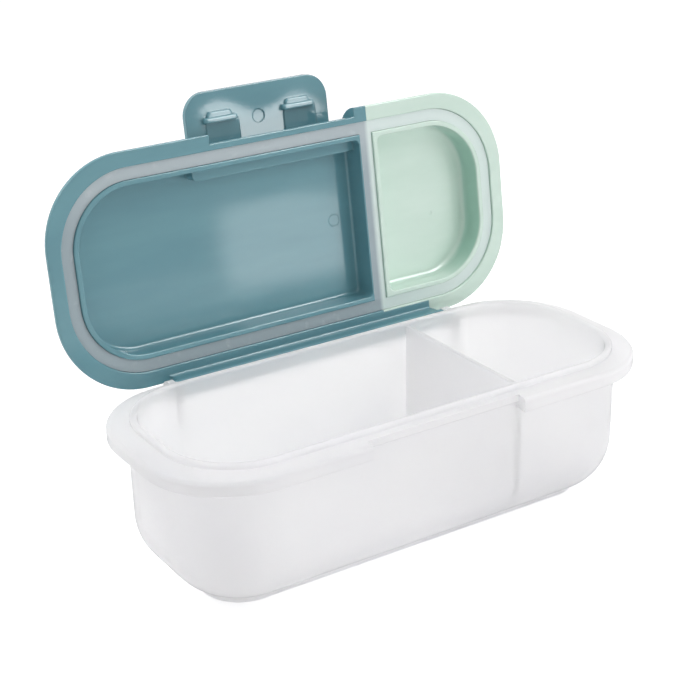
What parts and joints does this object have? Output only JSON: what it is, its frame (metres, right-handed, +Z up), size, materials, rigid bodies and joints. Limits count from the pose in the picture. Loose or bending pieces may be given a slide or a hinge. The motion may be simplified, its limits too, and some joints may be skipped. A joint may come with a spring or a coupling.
{
  "type": "dip container",
  "caption": "Hinged snack-and-dip box: frosted tub with a moulded divider, two-tone lid with tray and dip-cup recesses, ring seal and a front snap latch.",
  "frame": {"origin": "centre of the flat foot's underside, where the tub stands on the table", "axes": "+X along the box from the tray end to the dip-cup end, -Y towards the latch side, +Y towards the lid hinge, +Z up"},
  "size_m": [0.185, 0.1175, 0.1375],
  "materials": {
    "frosted_plastic": "satin",
    "blue_plastic": "satin",
    "mint_plastic": "satin",
    "seal_silicone": "satin"
  },
  "bodies": {
    "base": {"tub": "frosted_plastic"},
    "lid": {"lid_shell": "blue_plastic", "dip_cup_lid": "mint_plastic", "lid_seal": "seal_silicone"},
    "latch": {"latch": "blue_plastic"}
  },
  "joints": [
    {"name": "lid_hinge", "type": "hinge", "parent": "base", "child": "lid", "pos_m": [0, 0.041, 0.0483], "axis": [-1, 0, 0], "range_deg": [-98, 0]},
    {"name": "latch_hinge", "type": "hinge", "parent": "lid", "child": "latch", "pos_m": [0, 0.06408, 0.11554], "axis": [-1, 0, 0], "range_deg": [-90, 0]}
  ]
}
